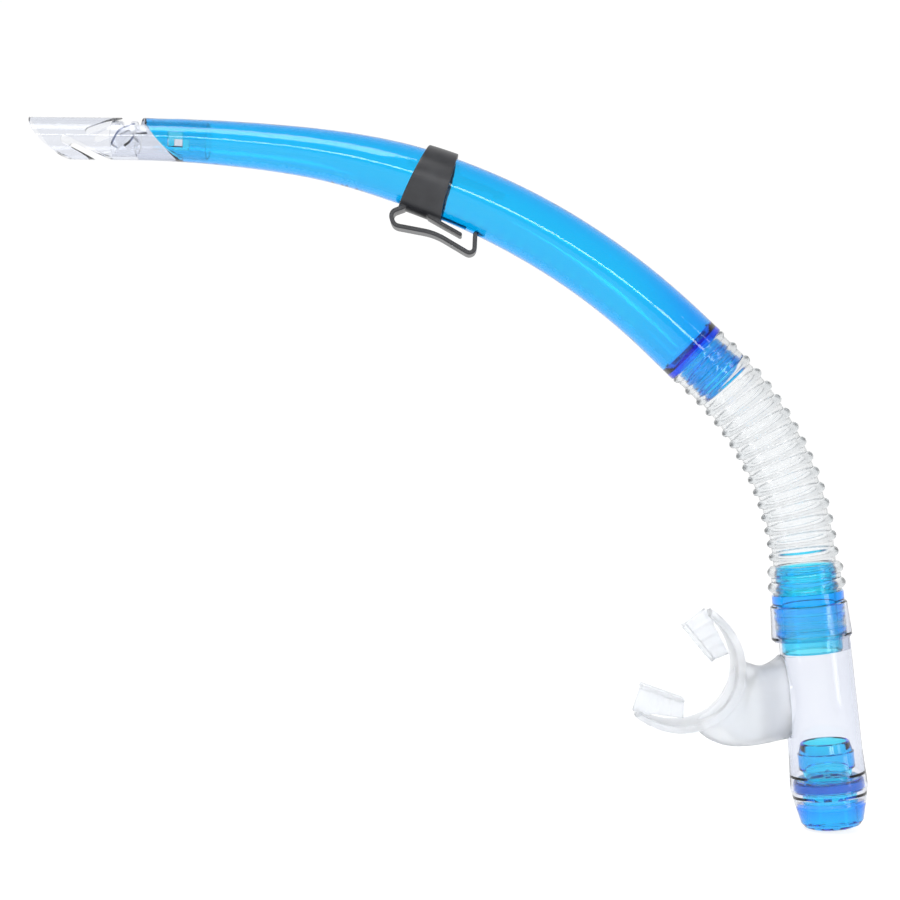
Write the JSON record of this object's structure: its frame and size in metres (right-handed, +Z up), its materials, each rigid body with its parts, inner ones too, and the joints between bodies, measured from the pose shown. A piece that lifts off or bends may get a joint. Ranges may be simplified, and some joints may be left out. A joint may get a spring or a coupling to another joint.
{
  "type": "snorkel",
  "caption": "Curved semi-dry snorkel with splash guard, strap keeper, flexible corrugated hose, silicone mouthpiece and purge valve.",
  "frame": {"origin": "centre of the strap keeper's slot, where the mask strap holds the snorkel", "axes": "the tube lies in the XZ plane: +X towards the mouthpiece end, +Z up, +Y across, along the strap through the slot"},
  "size_m": [0.3848, 0.0368, 0.3269],
  "materials": {
    "blue_plastic": "transparent blue, polished",
    "clear_plastic": "transparent, polished",
    "clear_silicone": "clear soft silicone",
    "milky_silicone": "frosted translucent silicone",
    "black_plastic": "satin, moulded",
    "soft_seal": "soft clear rubber",
    "blue_seal": "dark blue soft rubber"
  },
  "bodies": {
    "keeper": {"strap_keeper": "black_plastic"},
    "barrel": {"barrel": "blue_plastic", "splash_guard": "clear_plastic", "splash_deflector": "clear_plastic"},
    "hose": {"flex_hose": "clear_silicone"},
    "connector": {"lower_connector": "blue_plastic", "connector_seal": "soft_seal"},
    "mouth_unit": {"chamber": "clear_plastic", "mouthpiece": "milky_silicone", "purge_cup": "blue_plastic", "cup_seal": "blue_seal", "purge_cap": "blue_plastic"},
    "valve": {"purge_valve": "milky_silicone"}
  },
  "joints": [
    {"name": "keeper_slide", "type": "hinge", "parent": "keeper", "child": "barrel", "pos_m": [-0.10443, 0, -0.26699], "axis": [0, 1, 0], "range_deg": [0, 5.5]},
    {"name": "hose_swivel", "type": "hinge", "parent": "barrel", "child": "hose", "pos_m": [0.11911, 0, -0.05719], "axis": [0.7235, 0, -0.6903], "range_deg": [-90, 90]},
    {"name": "hose_bend", "type": "hinge", "parent": "hose", "child": "connector", "pos_m": [0.15528, 0, -0.10375], "axis": [0, 1, 0], "range_deg": [-40, 45], "stiffness_Nm_per_rad": 0.3, "deforming": ["flex_hose"]},
    {"name": "mouth_swivel", "type": "hinge", "parent": "connector", "child": "mouth_unit", "pos_m": [0.1708, 0, -0.17136], "axis": [0.0994, 0, -0.995], "range_deg": [-90, 90]},
    {"name": "valve_lift", "type": "slide", "parent": "mouth_unit", "child": "valve", "axis": [0.0994, 0, -0.995], "range_m": [0, 0.0015], "stiffness_N_per_m": 40}
  ]
}
